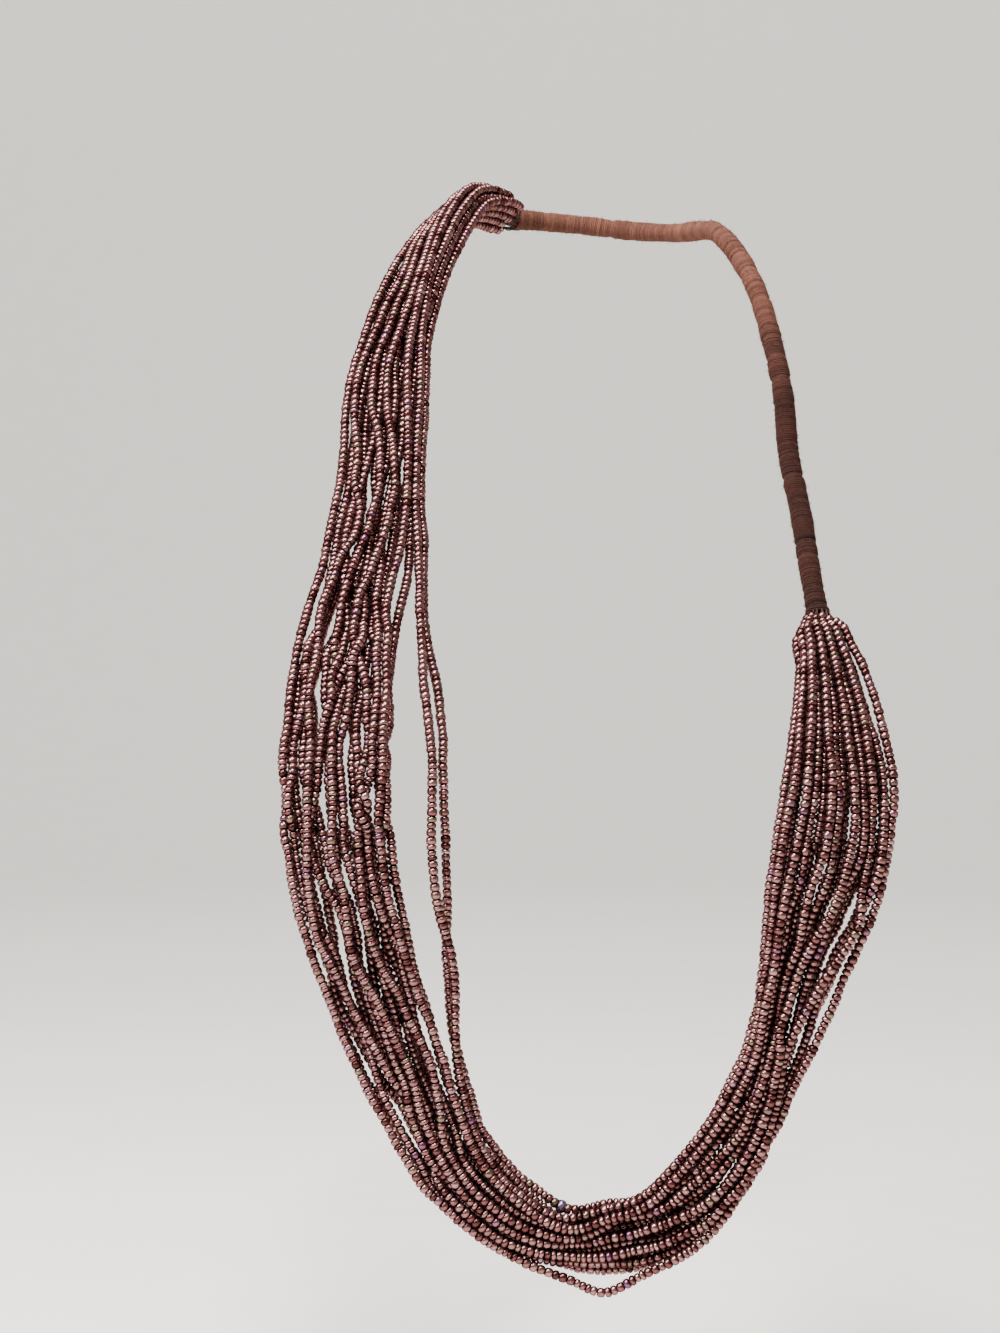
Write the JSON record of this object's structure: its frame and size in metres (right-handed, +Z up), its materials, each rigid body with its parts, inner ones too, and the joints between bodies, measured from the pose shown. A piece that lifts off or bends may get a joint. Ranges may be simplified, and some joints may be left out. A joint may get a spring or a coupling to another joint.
{
  "type": "multi strand necklace",
  "caption": "Long necklace of many bead strands in one loose bundle, closed behind the neck by a thick thread-wound cord.",
  "frame": {"origin": "on the axis of the wearer's neck, level with the cord at the nape", "axes": "+Z up, -Y to the front, +X to the side where the cord comes down over the collarbone"},
  "size_m": [0.213, 0.2167, 0.4124],
  "materials": {
    "beads": "opaque pressed glass with a satin metallic lustre",
    "cord": "matte yarn wound round and round",
    "thread": "matte thin thread"
  },
  "bodies": {
    "root": {"strand_01": "beads", "strand_02": "beads", "strand_03": "beads", "strand_04": "beads", "strand_05": "beads", "strand_06": "beads", "strand_07": "beads", "strand_08": "beads", "strand_09": "beads", "strand_10": "beads", "strand_11": "beads", "strand_12": "beads", "strand_13": "beads", "strand_14": "beads", "strand_15": "beads", "strand_16": "beads", "strand_17": "beads", "strand_18": "beads", "strand_19": "beads", "strand_20": "beads", "neck_cord": "cord", "gather_front": "thread", "gather_back": "thread"}
  },
  "joints": []
}
